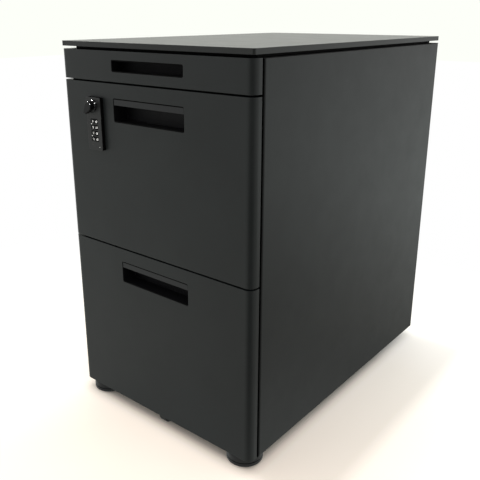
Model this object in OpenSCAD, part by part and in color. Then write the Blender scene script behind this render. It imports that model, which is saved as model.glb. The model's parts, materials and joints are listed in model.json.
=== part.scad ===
// Three-drawer steel pedestal cabinet on castors, with a dial lock on the middle drawer.
// X runs to the viewer's right, Y to the back, Z up. The floor is Z = 0, and the origin is the
// bottom centre of the whole object.

/* [Cabinet] */
// Width over the side panels
cabinet_w = 400; // [390:5:440]
// Depth from the drawer fronts to the back edge of the top
cabinet_d = 600; // [590:5:640]
// Height from the floor to the top surface
cabinet_h = 650; // [640:5:700]
// Clear height between the floor and the drawer fronts
ground_gap = 22; // [21:1:24]
// Thickness of the carcass and drawer front sheet
sheet_t = 1; // [0.8:0.1:1.2]
// Thickness of the top plate over its turned-down edges
top_t = 8; // [6:1:12]
// Height of the shadow gap between the body and the top plate
neck_h = 4.5; // [3:0.5:8]
// How far the neck stands in from the body's sides
neck_inset = 12; // [8:1:20]
// How far the side panels stop short of the top plate's back edge
back_setback = 6; // [5:1:10]

/* [Drawer fronts] */
// Depth of a front from its face to its back
front_t = 18; // [16:1:20]
// Radius of a front's two vertical edges
front_r = 12; // [6:1:14]
// Gap between one front and the next
front_gap = 3; // [2:0.5:4]
// Gap between the fronts' backs and the side panels
side_gap = 2.5; // [2:0.5:4]
// Height of the top drawer's front
top_front_h = 46.5; // [46:0.5:60]
// Height of the middle drawer's front
middle_front_h = 270.5; // [240:0.5:280]

/* [Handles] */
// Width of the finger recesses
recess_w = 152; // [120:2:170]
// Height of the finger recesses of the tall drawers
recess_h = 37.5; // [30:0.5:45]
// Height of the top drawer's finger recess
slim_recess_h = 18.5; // [16:0.5:20]
// Depth of the tall drawers' handle cups
cup_depth = 30; // [24:1:36]

/* [Drawers] */
// Length of the drawer slides
slide_l = 550; // [500:10:550]
// Thickness of a drawer slide
slide_t = 12.7; // [12.7:0.1:14]
// Thickness of the drawer boxes' sheet
box_t = 1; // [0.8:0.1:1.2]

/* [Lock] */
// Width of the lock housing
lock_w = 34; // [30:0.5:36]
// Height of the lock housing
lock_h = 85; // [82:0.5:92]
// How far the lock housing stands out from the front
lock_t = 6.5; // [6:0.5:8]
// Length of the turn lever from its axis to its tip
lever_l = 17; // [14:1:20]
// How far below level the turn lever points at rest
lever_angle = 48; // [0:1:90]
// Lift of the lock bolt and lock bar
lock_lift = 8; // [6:0.5:8]

/* [Running gear] */
// Radius of the castor wheels
wheel_r = 18; // [16:0.5:18]
// Offset of a castor's axle behind its swivel axis
trail = 10; // [6:1:10]
// Radius of the floor glides' discs
glide_r = 30; // [26:1:31]
// Height of a glide's disc above the floor when it is screwed up
glide_lift = 3; // [2:0.5:4]

/* [Hidden] */
$fn = 48;

// Colours
powder_black = [0.17, 0.18, 0.18];
plastic_black = [0.06, 0.06, 0.07];
zinc = [0.62, 0.63, 0.65];
inner_grey = [0.24, 0.25, 0.25];
tyre_black = [0.08, 0.08, 0.08];

// Clearances
shaft_play = 0.05;    // radial play of a shaft in its bore
slide_play = 0.3;     // between the nested slide members
cut_over = 1;         // how far a cut runs past the faces it opens

// Main planes
hw = cabinet_w / 2;
lever_t = 11.5;       // how far the turn lever stands out from the lock housing
front_y = (lock_t + lever_t - cabinet_d) / 2;
back_y = front_y + cabinet_d;
front_back_y = front_y + front_t;
side_front_y = front_back_y + side_gap;
side_back_y = back_y - back_setback;
body_top_z = cabinet_h - top_t - neck_h;
top_skin_t = 1.2;
top_edge_t = 2;
top_corner_r = 4;
top_side_in = 1;      // how far the top plate stands in from the body's sides
top_front_in = 1.5;

// Heights of the three fronts
top_z1 = body_top_z;
top_z0 = top_z1 - top_front_h;
mid_z1 = top_z0 - front_gap;
mid_z0 = mid_z1 - middle_front_h;
bot_z1 = mid_z0 - front_gap;
bot_z0 = ground_gap;

// Posts folded into the side panels' front and back edges
post_w = 17;
front_post_d = 20;
back_post_d = 30;
post_x = hw - post_w;
skin_x = hw - sheet_t;

// Cross rails
rail_t = 1.2;
rail_drop = 12;       // from a front's top edge down to the rail's lower edge
rail_h = 18;
rail_d = 20;

// Base pan
base_t = 1.2;
base_z = 52;
base_flange_h = 14;
pan_hole_play = 1;    // round a glide's spindle where it passes the pan
stem_hole_play = 2;   // round a castor's stem where it passes the pan

// Drawer boxes
box_x = post_x - slide_t;
box_rise = 7;         // from a front's lower edge up to its box
box_drop = 16;        // from a front's top edge down to its box's rim
slim_box_drop = 5.5;
divider_in = 290;     // from the fronts' faces back to the middle drawer's partition
box_end_gap = 2;      // how far a box stops short of its slides
box_back_y = side_front_y + slide_l - box_end_gap;
base_play = 2.8;
bot_box_z0 = base_z + base_t + base_play;

// Slides: each member is a C section, and one nests in the next
slide_y = side_front_y + 2;
mid_short = 4;        // how much shorter the middle members are than the outer ones
inner_short = 8;
member_t = 1.4;
slide_h = 45;
slim_slide_h = 20;
lip_l = 9;
inner_lip_l = 7.2;
top_slide_rise = 29;  // from a front's lower edge up to its slides' middle
mid_slide_rise = 102.5;
bot_slide_rise = 128;
top_slide_z = top_z0 + top_slide_rise;
mid_slide_z = mid_z0 + mid_slide_rise;
bot_slide_z = bot_z0 + bot_slide_rise;

// Handle recesses and latches
recess_drop = 22;     // from a tall front's top edge down to its recess
slim_recess_drop = 13;
cup_wall = 2;
cup_lip = 1.5;
cup_headroom = 2;     // room for the paddle above the recess
cup_gap = 0.4;        // round a cup where it passes the liner and the box
slim_cup_depth = 24;
corner_r = 3;
pivot_in = 4.2;       // from the front's face back to the paddle's axis
pivot_drop = recess_drop + 3.2;
press_play = 0.02;     // radial play of a shaft pressed into its bore
latch_shaft_r = 1.5;
paddle_below = 7.6;
paddle_above = 1.9;
hook_x = recess_w / 2 + 4;
hook_t = 3;
hook_back = 29;
hook_rise = 7.5;      // from the shaft's axis up to the hook's arm
hook_play = 1;        // round the hook in its slot
hook_tip_gap = 0.4;   // between the hook's tip and the cross rail
paddle_face_in = 0.6; // from the front's face back to the paddle's face
paddle_t = 2.2;
spring_x = 20;
spring_wire_r = 0.4;
spring_coil_r = 2.05;
spring_turns = 5;
spring_pitch = 1.05;
spring_end_x = spring_x + spring_turns * spring_pitch;
spring_gap = 0.3;     // round the spring where it passes the paddle
spring_leg = 5.5;

// Dial lock
lock_in = 82.4;       // from the body's side in to the lock's axis
lock_x = lock_in - hw;
lock_drop = 23.2;     // from the front's top edge down to the housing
knob_drop = 12.8;     // from the housing's top down to the lever's axis
lock_z1 = mid_z1 - lock_drop;
lock_z0 = lock_z1 - lock_h;
lock_face_y = front_y - lock_t;
knob_z = lock_z1 - knob_drop;
spindle_r = 4;
face_gap = 0.3;       // between the lever's collar and the housing
sleeve_r = 8;
sleeve_play = 0.2;    // round the sleeve and the dial case where they pass the sheets
sleeve_over = 1;      // how far the sleeve stands out of the box's front wall
sleeve_back = front_back_y + box_t + sleeve_over;
dial_r = 11.5;
dial_t = 6;
dial_pitch = 9.6;
dial_play = 0.6;      // round a dial's rim
dial_side_play = 0.4; // above and below a dial
dial_axis_in = 9.5;   // from the housing's face back to the dials' axis
dial_axis_y = lock_face_y + dial_axis_in;
dial_drop = 25.5;     // from the lever's axis down to the first dial
dial_top_z = knob_z - dial_drop;
dial_pin_r = 2.5;
dial_count = 4;
digits = 10;
cam_gap = 0.5;        // between the sleeve, the cam and the bolt
cam_y = sleeve_back + cam_gap;
cam_t = 3;
cam_pin_r = 2;
cam_throw = lock_lift / (2 * sin(45));
bolt_y = cam_y + cam_t + cam_gap;
bolt_t = 3;
bolt_half_w = 10;
bolt_side_play = 0.3;
bolt_rail_gap = 1;    // between the bolt's top and the cross rail
bolt_top_z = mid_z1 - rail_drop - bolt_rail_gap;

// Lock bar behind the left front post
bar_t = 2;
bar_gap = 0.8;        // between the bar and the skin
bar_x = -(skin_x - bar_gap);
bar_y = side_front_y + front_post_d + 2;
bar_w = 14;
tab_t = 4;
tab_h = 10;
tab_gap = 1;          // between a tab's top and the strike pin above it
tab_box_gap = 3.7;    // between a tab's end and the box's side
tab_reach = box_x + tab_box_gap;
strike_r = 2.5;
strike_y = bar_y + tab_t + tab_gap + strike_r;
strike_l = 9.7;
strike_shank_r = 1.6; // shank of the strike pin through the box's side
strike_seat = 0.03;   // between the pin's shoulder and the side
strike_rise = 30;     // from a tall drawer's slides up to its strike
top_strike_rise = 4;  // from the top box's lower edge up to its strike
bot_strike_z = bot_slide_z + slide_h / 2 + strike_rise;
mid_strike_z = mid_slide_z + slide_h / 2 + strike_rise;
top_strike_z = top_z0 + box_rise + top_strike_rise;
low_guide_rise = 60;  // from a strike up to the guide over it
high_guide_rise = 30;
arm_h = 6;
arm_gap = 0.8;

// Glides
glide_in = 34;        // from the body's side in to a glide's axis
disc_gap = 1.5;       // between a glide's disc and the fronts' lower edge
spindle_over = 2;     // how far a spindle stands above the pan's underside
glide_x = hw - glide_in;
spindle_top_z = base_z + spindle_over;
glide_spindle_r = 6;
glide_top_z = ground_gap - disc_gap;
socket_r = 9;
socket_h = 14;
hub_floor = 9;        // from a disc's underside up to its spindle's lower end
hub_z = glide_lift + hub_floor;
flange_gap = 0.3;     // between a glide socket and the base pan's front flange
glide_y = side_front_y + base_t + flange_gap + socket_r;

// Castors
caster_in = 43;       // from the body's side in to a castor's swivel axis
caster_sweep = 32;    // radius that a castor needs to swivel in
disc_room = 2;        // between a swivelling castor and a glide's disc
back_room = 20;       // between a swivelling castor and the body's back
caster_x = hw - caster_in;
front_caster_y = glide_y + glide_r + caster_sweep + disc_room;
rear_caster_y = side_back_y - caster_sweep - back_room;
plate_t = 2.5;
plate_w = 46;
plate_hole = 17;
plate_z = base_z - plate_t;
stem_r = 5;
stem_over = 1.2;
stem_top_z = base_z + base_t + stem_over;
wheel_t = 8.5;
wheel_x = 2.8;
web_t = 4.6;
axle_r = 2.5;
hood_gap = 1;
hood_t = 1.6;
boss_r = 12;
fork_gap = 0.3;       // between the fork's boss and its plate
screw_head_r = 3.4;
screw_head_h = 1.6;

// Anti-tip wheel under the bottom drawer's front
tip_wheel_r = 15;
tip_wheel_w = 16;
tip_in = 21.5;        // from the front's face back to the wheel's axis
tip_lift = 1;         // between the wheel and the floor
tip_y = front_y + tip_in;
tip_z = tip_wheel_r + tip_lift;
tip_slot_x = 12;
tip_slot_room = 3;
tip_slot_z = tip_z + tip_wheel_r + tip_slot_room;
tip_face_t = 4;       // what stays of the front before the wheel
cheek_t = 1.5;
cheek_gap = 1;        // between the wheel and its fork
cheek_x = tip_wheel_w / 2 + cheek_gap;
bridge_z = tip_z + tip_wheel_r + cheek_gap;

// ---------- Shared shapes ----------

// A block between two opposite corners
module block(lo, hi) {
    translate(lo) cube(hi - lo);
}

// The children on both sides of the cabinet
module both_sides() {
    children();
    mirror([1, 0, 0]) children();
}

// A flat outline in X and Z, drawn out from y0 to y1
module along_y(y0, y1) {
    translate([0, y1, 0]) rotate([90, 0, 0]) linear_extrude(y1 - y0) children();
}

// A flat outline in Y and Z, drawn out from x0 to x1
module along_x(x0, x1) {
    translate([x0, 0, 0]) rotate([90, 0, 90]) linear_extrude(x1 - x0) children();
}

module rod_x(x0, x1, y, z, r) {
    translate([x0, y, z]) rotate([0, 90, 0]) cylinder(h = x1 - x0, r = r);
}

module rod_y(y0, y1, x, z, r) {
    translate([x, y0, z]) rotate([-90, 0, 0]) cylinder(h = y1 - y0, r = r);
}

module rod_z(z0, z1, x, y, r) {
    translate([x, y, z0]) cylinder(h = z1 - z0, r = r);
}

// A rod along Y with a chamfer round its front end
module stud_y(y0, y1, x, z, r, chamfer) {
    rod_y(y0 + chamfer, y1, x, z, r);
    translate([x, y0, z]) rotate([-90, 0, 0]) cylinder(h = chamfer, r1 = r - chamfer, r2 = r);
}

// A rectangle with round corners between two opposite corners
module rounded_rect(lo, hi, r) {
    translate([lo.x + r, lo.y]) square([hi.x - lo.x - 2 * r, hi.y - lo.y]);
    translate([lo.x, lo.y + r]) square([hi.x - lo.x, hi.y - lo.y - 2 * r]);
    for (x = [lo.x + r, hi.x - r], y = [lo.y + r, hi.y - r]) translate([x, y]) circle(r);
}

// ---------- Carcass ----------

// Plan of the right side panel: skin, and a post folded into each end
module side_plan() {
    translate([skin_x, side_front_y]) square([sheet_t, side_back_y - side_front_y]);
    translate([post_x, side_front_y]) square([post_w, sheet_t]);
    translate([post_x, side_front_y]) square([sheet_t, front_post_d]);
    translate([post_x, side_back_y - sheet_t]) square([post_w, sheet_t]);
    translate([post_x, side_back_y - back_post_d]) square([sheet_t, back_post_d]);
}

back_screw_x = hw - 9;
back_screw_end = 60;  // from the panel's ends to the first and last screws
back_screw_step = (body_top_z - ground_gap - 2 * back_screw_end) / 3;
back_screw_zs = [for (i = [0:3]) ground_gap + back_screw_end + i * back_screw_step];
screw_r = 1.9;
screw_hole_r = 2;

module back_screw_holes() {
    for (x = [-back_screw_x, back_screw_x], z = back_screw_zs)
        rod_y(side_back_y - sheet_t - cut_over, side_back_y + sheet_t + cut_over, x, z, screw_hole_r);
}

module side_panel() {
    color(powder_black) difference() {
        translate([0, 0, ground_gap])
            linear_extrude(body_top_z - sheet_t - ground_gap) side_plan();
        back_screw_holes();
    }
}

// A strap that holds the lock bar to the left skin
module bar_guide(z) {
    guide_h = 12;
    play = 0.3;
    leg = 1.4;
    y0 = bar_y - play;
    y1 = bar_y + bar_w + play;
    strap_x = bar_x + bar_t + play;
    root_x = sheet_t / 2 - hw;
    color(powder_black) {
        block([root_x, y0 - leg, z], [strap_x + leg, y0, z + guide_h]);
        block([root_x, y1, z], [strap_x + leg, y1 + leg, z + guide_h]);
        block([strap_x, y0 - leg, z], [strap_x + leg, y1 + leg, z + guide_h]);
    }
}

module left_side_panel() {
    mirror([1, 0, 0]) side_panel();
    for (z = [bot_strike_z + low_guide_rise, mid_strike_z + high_guide_rise]) bar_guide(z);
}

module right_side_panel() {
    side_panel();
}

module back_panel() {
    edge = 4;
    color(powder_black) difference() {
        block([-hw + edge, side_back_y, ground_gap + edge],
            [hw - edge, side_back_y + sheet_t, body_top_z - sheet_t - edge]);
        back_screw_holes();
    }
}

module base_pan() {
    notch_play = 6;
    mid_y0 = side_front_y + front_post_d;
    mid_y1 = side_back_y - back_post_d;
    notch_x = tip_slot_x + notch_play;
    notch_y = tip_y + tip_wheel_r + notch_play;
    z1 = base_z + base_t;
    flange_z = base_z - base_flange_h;
    color(powder_black) difference() {
        union() {
            block([-post_x, side_front_y, base_z], [post_x, side_back_y - sheet_t, z1]);
            block([-skin_x, mid_y0, base_z], [skin_x, mid_y1, z1]);
            block([-post_x, side_front_y, flange_z], [post_x, side_front_y + base_t, z1]);
            block([-post_x, side_back_y - sheet_t - base_t, flange_z], [post_x, side_back_y - sheet_t, z1]);
            both_sides() block([skin_x - base_t, mid_y0, flange_z], [skin_x, mid_y1, z1]);
        }
        block([-notch_x, side_front_y - cut_over, flange_z - cut_over], [notch_x, notch_y, z1 + cut_over]);
        for (s = [-1, 1]) {
            rod_z(base_z - cut_over, z1 + cut_over, s * glide_x, glide_y, glide_spindle_r + pan_hole_play);
            for (y = [front_caster_y, rear_caster_y])
                rod_z(base_z - cut_over, z1 + cut_over, s * caster_x, y, stem_r + stem_hole_play);
        }
        for (p = plate_screw_points)
            rod_z(base_z - cut_over, z1 + cut_over, p.x, p.y, screw_hole_r);
    }
}

// Deck over the body, with the folded neck that the top plate sits on
module top_deck() {
    wall = 1.5;
    front_in = 2;
    back_in = 14;
    neck_x = hw - neck_inset;
    y0 = side_front_y + front_in;
    y1 = side_back_y - back_in;
    color(powder_black) {
        block([-hw, side_front_y, body_top_z - sheet_t], [hw, side_back_y + sheet_t, body_top_z]);
        difference() {
            block([-neck_x, y0, body_top_z - sheet_t], [neck_x, y1, cabinet_h - top_skin_t]);
            block([-neck_x + wall, y0 + wall, body_top_z],
                [neck_x - wall, y1 - wall, cabinet_h + cut_over]);
        }
    }
}

module top_plate() {
    x1 = hw - top_side_in;
    y0 = front_y + top_front_in;
    z0 = body_top_z + neck_h;
    color(powder_black) difference() {
        translate([0, 0, z0]) linear_extrude(top_t)
            rounded_rect([-x1, y0], [x1, back_y], top_corner_r);
        translate([0, 0, z0 - cut_over]) linear_extrude(top_t - top_skin_t + cut_over)
            rounded_rect([-x1 + top_edge_t, y0 + top_edge_t], [x1 - top_edge_t, back_y - top_edge_t],
                top_corner_r - top_edge_t);
    }
}

// Rail between two drawers, z0 is its lower edge
module cross_rail(z0) {
    color(powder_black) {
        block([-post_x, side_front_y, z0], [post_x, side_front_y + rail_t, z0 + rail_h]);
        block([-post_x, side_front_y, z0 + rail_h - rail_t], [post_x, side_front_y + rail_d, z0 + rail_h]);
    }
}

module upper_cross_rail() {
    cross_rail(mid_z1 - rail_drop);
}

module lower_cross_rail() {
    cross_rail(bot_z1 - rail_drop);
}

// ---------- Slides ----------

// One C section on each side, its back at x_back and its lips ending at x_lip
module slide_member(x_back, x_lip, half_h, z, y0, y1) {
    side = x_lip < x_back ? -1 : 1;
    x_web = x_back + side * member_t;
    color(zinc) both_sides() {
        block([min(x_back, x_web), y0, z - half_h], [max(x_back, x_web), y1, z + half_h]);
        for (s = [-1, 1]) {
            lip_z = z + s * (half_h - member_t / 2);
            block([min(x_back, x_lip), y0, lip_z - member_t / 2],
                [max(x_back, x_lip), y1, lip_z + member_t / 2]);
        }
    }
}

nest_step = member_t + slide_play;
mid_member_h = slide_h / 2 - nest_step;
inner_member_h = mid_member_h - nest_step;
slim_inner_h = slim_slide_h / 2 - nest_step;

module outer_member(z, height) {
    slide_member(post_x, post_x - lip_l, height / 2, z, slide_y, slide_y + slide_l);
}

module outer_slides() {
    outer_member(bot_slide_z, slide_h);
    outer_member(mid_slide_z, slide_h);
    outer_member(top_slide_z, slim_slide_h);
}

module mid_slides(z) {
    x_back = post_x - 2 * member_t;
    slide_member(x_back, x_back - inner_lip_l, mid_member_h, z, slide_y, slide_y + slide_l - mid_short);
}

module inner_slides(z, half_h) {
    slide_member(box_x, box_x + inner_lip_l, half_h, z, slide_y, slide_y + slide_l - inner_short);
}

module middle_mid_slides() {
    mid_slides(mid_slide_z);
}

module bottom_mid_slides() {
    mid_slides(bot_slide_z);
}

module middle_inner_slides() {
    inner_slides(mid_slide_z, inner_member_h);
}

module bottom_inner_slides() {
    inner_slides(bot_slide_z, inner_member_h);
}

module top_inner_slides() {
    inner_slides(top_slide_z, slim_inner_h);
}

// ---------- Drawer fronts ----------

// Plan of a front, drawn in from the outer face by inset
module front_plan(inset, back) {
    r = front_r - inset;
    cx = hw - front_r;
    cy = front_y + front_r;
    translate([-cx, front_y + inset]) square([2 * cx, back - front_y - inset]);
    translate([-hw + inset, cy]) square([2 * (hw - inset), back - cy]);
    intersection() {
        for (x = [-cx, cx]) translate([x, cy]) circle(r);
        translate([-hw, front_y]) square([2 * hw, front_r]);
    }
}

// A folded pan, open at its back, from z0 to z1
module front_pan(z0, z1) {
    difference() {
        translate([0, 0, z0]) linear_extrude(z1 - z0) front_plan(0, front_back_y);
        translate([0, 0, z0 + sheet_t]) linear_extrude(z1 - z0 - 2 * sheet_t)
            front_plan(sheet_t, front_back_y + cut_over);
    }
}

// Sheet that closes the back of a pan
module liner_sheet(z0, z1) {
    block([-skin_x, front_back_y - sheet_t, z0 + sheet_t], [skin_x, front_back_y, z1 - sheet_t]);
}

// The finger recess cut through a front's face
module recess_cut(top_z, height) {
    along_y(front_y - cut_over, front_y + sheet_t + cut_over)
        rounded_rect([-recess_w / 2, top_z - height], [recess_w / 2, top_z], corner_r);
}

// Outline of a handle cup's inside, grown by grow
module cup_outline(top_z, height, headroom, grow) {
    rounded_rect([-recess_w / 2 - grow, top_z - height - grow],
        [recess_w / 2 + grow, top_z + headroom + grow], corner_r + grow);
}

// The hole that a cup needs in the liner and in the box's front wall
module cup_hole(top_z, height, headroom) {
    along_y(front_back_y - sheet_t - cut_over, front_back_y + box_t + cut_over)
        cup_outline(top_z, height, headroom, cup_wall + cup_gap);
}

module handle_cup(top_z, height, headroom, depth) {
    y0 = front_y + sheet_t;
    difference() {
        union() {
            along_y(y0, y0 + cup_lip) cup_outline(top_z, height, headroom, cup_wall + cup_lip);
            along_y(y0, front_y + depth) cup_outline(top_z, height, headroom, cup_wall);
        }
        along_y(y0 - cut_over, front_y + depth - cup_wall) cup_outline(top_z, height, headroom, 0);
    }
}

// A cup with the two side bores that carry the latch shaft
module latch_cup(front_top) {
    color(plastic_black) difference() {
        handle_cup(front_top - recess_drop, recess_h, cup_headroom, cup_depth);
        rod_x(-hw / 2, hw / 2, front_y + pivot_in, front_top - pivot_drop, latch_shaft_r + shaft_play);
    }
}

// The slot that the latch hook swings in, through liner and box
module hook_slot(front_top) {
    swing_room = 2;
    block([hook_x - hook_play, front_back_y - sheet_t - cut_over, front_top - pivot_drop - swing_room],
        [hook_x + hook_t + hook_play, front_back_y + box_t + cut_over, front_top - rail_drop + hook_play]);
}

module top_front() {
    color(powder_black) difference() {
        front_pan(top_z0, top_z1);
        recess_cut(top_z1 - slim_recess_drop, slim_recess_h);
    }
}

module top_front_liner() {
    color(powder_black) difference() {
        liner_sheet(top_z0, top_z1);
        cup_hole(top_z1 - slim_recess_drop, slim_recess_h, 0);
    }
}

module top_handle_cup() {
    color(plastic_black) handle_cup(top_z1 - slim_recess_drop, slim_recess_h, 0, slim_cup_depth);
}

module middle_front() {
    color(powder_black) difference() {
        front_pan(mid_z0, mid_z1);
        recess_cut(mid_z1 - recess_drop, recess_h);
        lock_cut();
    }
}

module middle_front_liner() {
    color(powder_black) difference() {
        liner_sheet(mid_z0, mid_z1);
        cup_hole(mid_z1 - recess_drop, recess_h, cup_headroom);
        hook_slot(mid_z1);
        lock_cut();
    }
}

module bottom_front() {
    color(powder_black) difference() {
        front_pan(bot_z0, bot_z1);
        recess_cut(bot_z1 - recess_drop, recess_h);
        tip_wheel_cut();
    }
}

module bottom_front_liner() {
    color(powder_black) difference() {
        liner_sheet(bot_z0, bot_z1);
        cup_hole(bot_z1 - recess_drop, recess_h, cup_headroom);
        hook_slot(bot_z1);
        tip_wheel_cut();
    }
}

// ---------- Drawer boxes ----------

module box_tray(z0, z1) {
    difference() {
        block([-box_x, front_back_y, z0], [box_x, box_back_y, z1]);
        block([-box_x + box_t, front_back_y + box_t, z0 + box_t],
            [box_x - box_t, box_back_y - box_t, z1 + cut_over]);
    }
}

// Shouldered pin pressed into a box's left side, which the lock bar's tab holds
module strike(z) {
    rod_x(-box_x - strike_l, -box_x - strike_seat, strike_y, z, strike_r);
    rod_x(-box_x - box_t, -box_x + box_t - strike_seat, strike_y, z, strike_shank_r);
}

module strike_hole(z) {
    rod_x(-box_x - box_t, -box_x + box_t + cut_over, strike_y, z, strike_shank_r + strike_seat);
}

module top_box() {
    color(inner_grey) difference() {
        box_tray(top_z0 + box_rise, top_z1 - slim_box_drop);
        cup_hole(top_z1 - slim_recess_drop, slim_recess_h, 0);
        strike_hole(top_strike_z);
    }
    color(zinc) strike(top_strike_z);
}

module middle_box() {
    color(inner_grey) {
        difference() {
            box_tray(mid_z0 + box_rise, mid_z1 - box_drop);
            cup_hole(mid_z1 - recess_drop, recess_h, cup_headroom);
            hook_slot(mid_z1);
            lock_cut();
            strike_hole(mid_strike_z);
        }
        bolt_guides();
    }
    color(zinc) strike(mid_strike_z);
}

module bottom_box() {
    color(inner_grey) difference() {
        box_tray(bot_box_z0, bot_z1 - box_drop);
        cup_hole(bot_z1 - recess_drop, recess_h, cup_headroom);
        hook_slot(bot_z1);
        strike_hole(bot_strike_z);
    }
    color(zinc) strike(bot_strike_z);
}

// Shallow moulded tray with a row of pockets
module pen_tray() {
    cup_room = 4;
    pocket_w = 76;
    tray_y0 = front_y + slim_cup_depth + cup_room;
    tray_d = 176;
    tray_z0 = top_z0 + box_rise + box_t;
    tray_h = 20;
    wall = 2;
    pocket_r = 6;
    tray_x = box_x - box_t;
    splits = [-tray_x, -tray_x + pocket_w, -tray_x + 2 * pocket_w, tray_x - pocket_w, tray_x];
    color(plastic_black) difference() {
        block([-tray_x, tray_y0, tray_z0], [tray_x, tray_y0 + tray_d, tray_z0 + tray_h]);
        for (i = [0 : len(splits) - 2])
            translate([0, 0, tray_z0 + wall]) linear_extrude(tray_h)
                rounded_rect([splits[i] + wall, tray_y0 + wall],
                    [splits[i + 1] - wall, tray_y0 + tray_d - wall], pocket_r);
    }
}

// Upright partition across the middle drawer
module middle_divider() {
    divider_h = 180;
    foot_d = 30;
    y = front_y + divider_in;
    z0 = mid_z0 + box_rise + box_t;
    x1 = box_x - box_t;
    color(inner_grey) {
        block([-x1, y, z0], [x1, y + box_t, z0 + divider_h]);
        block([-x1, y, z0], [x1, y + foot_d, z0 + box_t]);
    }
}

// Hanging-file rails clipped over the bottom box's side rims
module file_rails() {
    rim_z = bot_z1 - box_drop;
    leg_h = 10;
    end_in = 12;
    color(zinc) both_sides() difference() {
        block([box_x - 2 * box_t, front_back_y + end_in, rim_z - leg_h],
            [box_x + box_t, box_back_y - end_in, rim_z + box_t]);
        block([box_x - box_t, front_back_y, rim_z - leg_h - cut_over], [box_x, box_back_y, rim_z]);
    }
}

// ---------- Latches ----------

module latch_paddle(front_top) {
    end_gap = 0.7;
    groove_over = 1;
    lip_d = 5.4;
    lip_t = 1.4;
    lug_l = 7;
    lug_r = 2.6;
    y = front_y + pivot_in;
    z = front_top - pivot_drop;
    x1 = recess_w / 2 - end_gap;
    face_y = front_y + paddle_face_in;
    low_z = z - paddle_below;
    groove_r = spring_coil_r + spring_wire_r + spring_gap;
    stop_w = 4;
    stop_t = 1.2;
    stop_x0 = spring_end_x - stop_w / 2;
    stop_x1 = spring_end_x + stop_w / 2;
    stop_y0 = y + groove_r;
    stop_z1 = z - spring_leg + lip_t;
    color(powder_black) difference() {
        union() {
            block([-x1, face_y, low_z], [x1, face_y + paddle_t, z + paddle_above]);
            block([-x1, face_y, low_z], [x1, face_y + lip_d, low_z + lip_t]);
            both_sides() rod_x(x1 - lug_l, x1, y, z, lug_r);
            block([stop_x0, face_y, low_z], [stop_x1, stop_y0 + stop_t, low_z + lip_t]);
            block([stop_x0, stop_y0, low_z], [stop_x1, stop_y0 + stop_t, stop_z1]);
        }
        rod_x(-hw / 2, hw / 2, y, z, latch_shaft_r + press_play);
        rod_x(spring_x - groove_over, spring_end_x + groove_over, y, z, groove_r);
    }
}

// Shaft that turns with the paddle, with the hook arm on its right end
module latch_shaft(front_top) {
    y = front_y + pivot_in;
    z = front_top - pivot_drop;
    eye_r = 3;
    arm_t = 3;
    neck_t = 3.8;
    neck_y = y - latch_shaft_r;
    arm_z = z + hook_rise;
    tip_y1 = front_y + hook_back;
    tip_z1 = front_top - rail_drop - hook_tip_gap;
    color(zinc) {
        rod_x(-recess_w / 2 - cup_wall - hook_play, hook_x + hook_t, y, z, latch_shaft_r);
        along_x(hook_x, hook_x + hook_t) {
            translate([y, z]) circle(eye_r);
            translate([neck_y, z]) square([neck_t, hook_rise + arm_t]);
            translate([neck_y, arm_z]) square([tip_y1 - neck_y, arm_t]);
            translate([tip_y1 - arm_t, arm_z]) square([arm_t, tip_z1 - arm_z]);
        }
    }
}

// Torsion spring round the shaft, one leg on the cup's ceiling and one before the paddle's tab
module latch_spring(front_top) {
    y = front_y + pivot_in;
    z = front_top - pivot_drop;
    turn_points = 20;
    leg_y = y + spring_coil_r;
    ceiling = front_top - recess_drop + cup_headroom;
    coil = [for (i = [0 : spring_turns * turn_points]) let (turn = i / turn_points)
        [spring_x + spring_pitch * turn, y + spring_coil_r * cos(360 * turn),
            z - spring_coil_r * sin(360 * turn)]];
    color(zinc) wire(concat([[spring_x, leg_y, ceiling]], coil, [[spring_end_x, leg_y, z - spring_leg]]),
        spring_wire_r);
}

function unit(v) = v / norm(v);

// Round wire of radius r along a path that never runs straight along X
module wire(path, r) {
    sides = 8;
    last = len(path) - 1;
    points = [for (i = [0 : last]) let (
            t = unit(path[min(i + 1, last)] - path[max(i - 1, 0)]),
            u = unit(cross(t, [1, 0, 0])),
            v = cross(t, u))
        for (k = [0 : sides - 1]) path[i] + r * (cos(360 * k / sides) * u + sin(360 * k / sides) * v)];
    skin = [for (i = [0 : last - 1], k = [0 : sides - 1]) let (n = (k + 1) % sides)
        [i * sides + k, (i + 1) * sides + k, (i + 1) * sides + n, i * sides + n]];
    ends = [[for (k = [0 : sides - 1]) k], [for (k = [sides - 1 : -1 : 0]) last * sides + k]];
    polyhedron(points, concat(skin, ends));
}

module middle_latch_paddle() {
    latch_paddle(mid_z1);
}

module middle_latch_shaft() {
    latch_shaft(mid_z1);
}

module middle_latch_spring() {
    latch_spring(mid_z1);
}

module middle_handle_cup() {
    latch_cup(mid_z1);
}

module bottom_latch_paddle() {
    latch_paddle(bot_z1);
}

module bottom_latch_shaft() {
    latch_shaft(bot_z1);
}

module bottom_latch_spring() {
    latch_spring(bot_z1);
}

module bottom_handle_cup() {
    latch_cup(bot_z1);
}

// ---------- Dial lock ----------

case_wall = 1.8;      // beside the dials
case_end = 11;        // above the first dial's middle and below the last one's
case_depth = 16.5;    // from the front's face back to the case's end
case_x0 = lock_x - dial_r - case_wall;
case_x1 = lock_x + dial_r + case_wall;
case_z0 = dial_top_z - (dial_count - 1) * dial_pitch - case_end;
case_z1 = dial_top_z + case_end;
case_back = front_y + case_depth;

// What the lock needs cut out of face, liner and box
module lock_cut() {
    rod_y(front_y - cut_over, front_back_y + box_t + cut_over, lock_x, knob_z, sleeve_r + sleeve_play);
    block([case_x0 - sleeve_play, front_y - cut_over, case_z0 - sleeve_play],
        [case_x1 + sleeve_play, front_y + sheet_t + cut_over, case_z1 + sleeve_play]);
}

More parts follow.
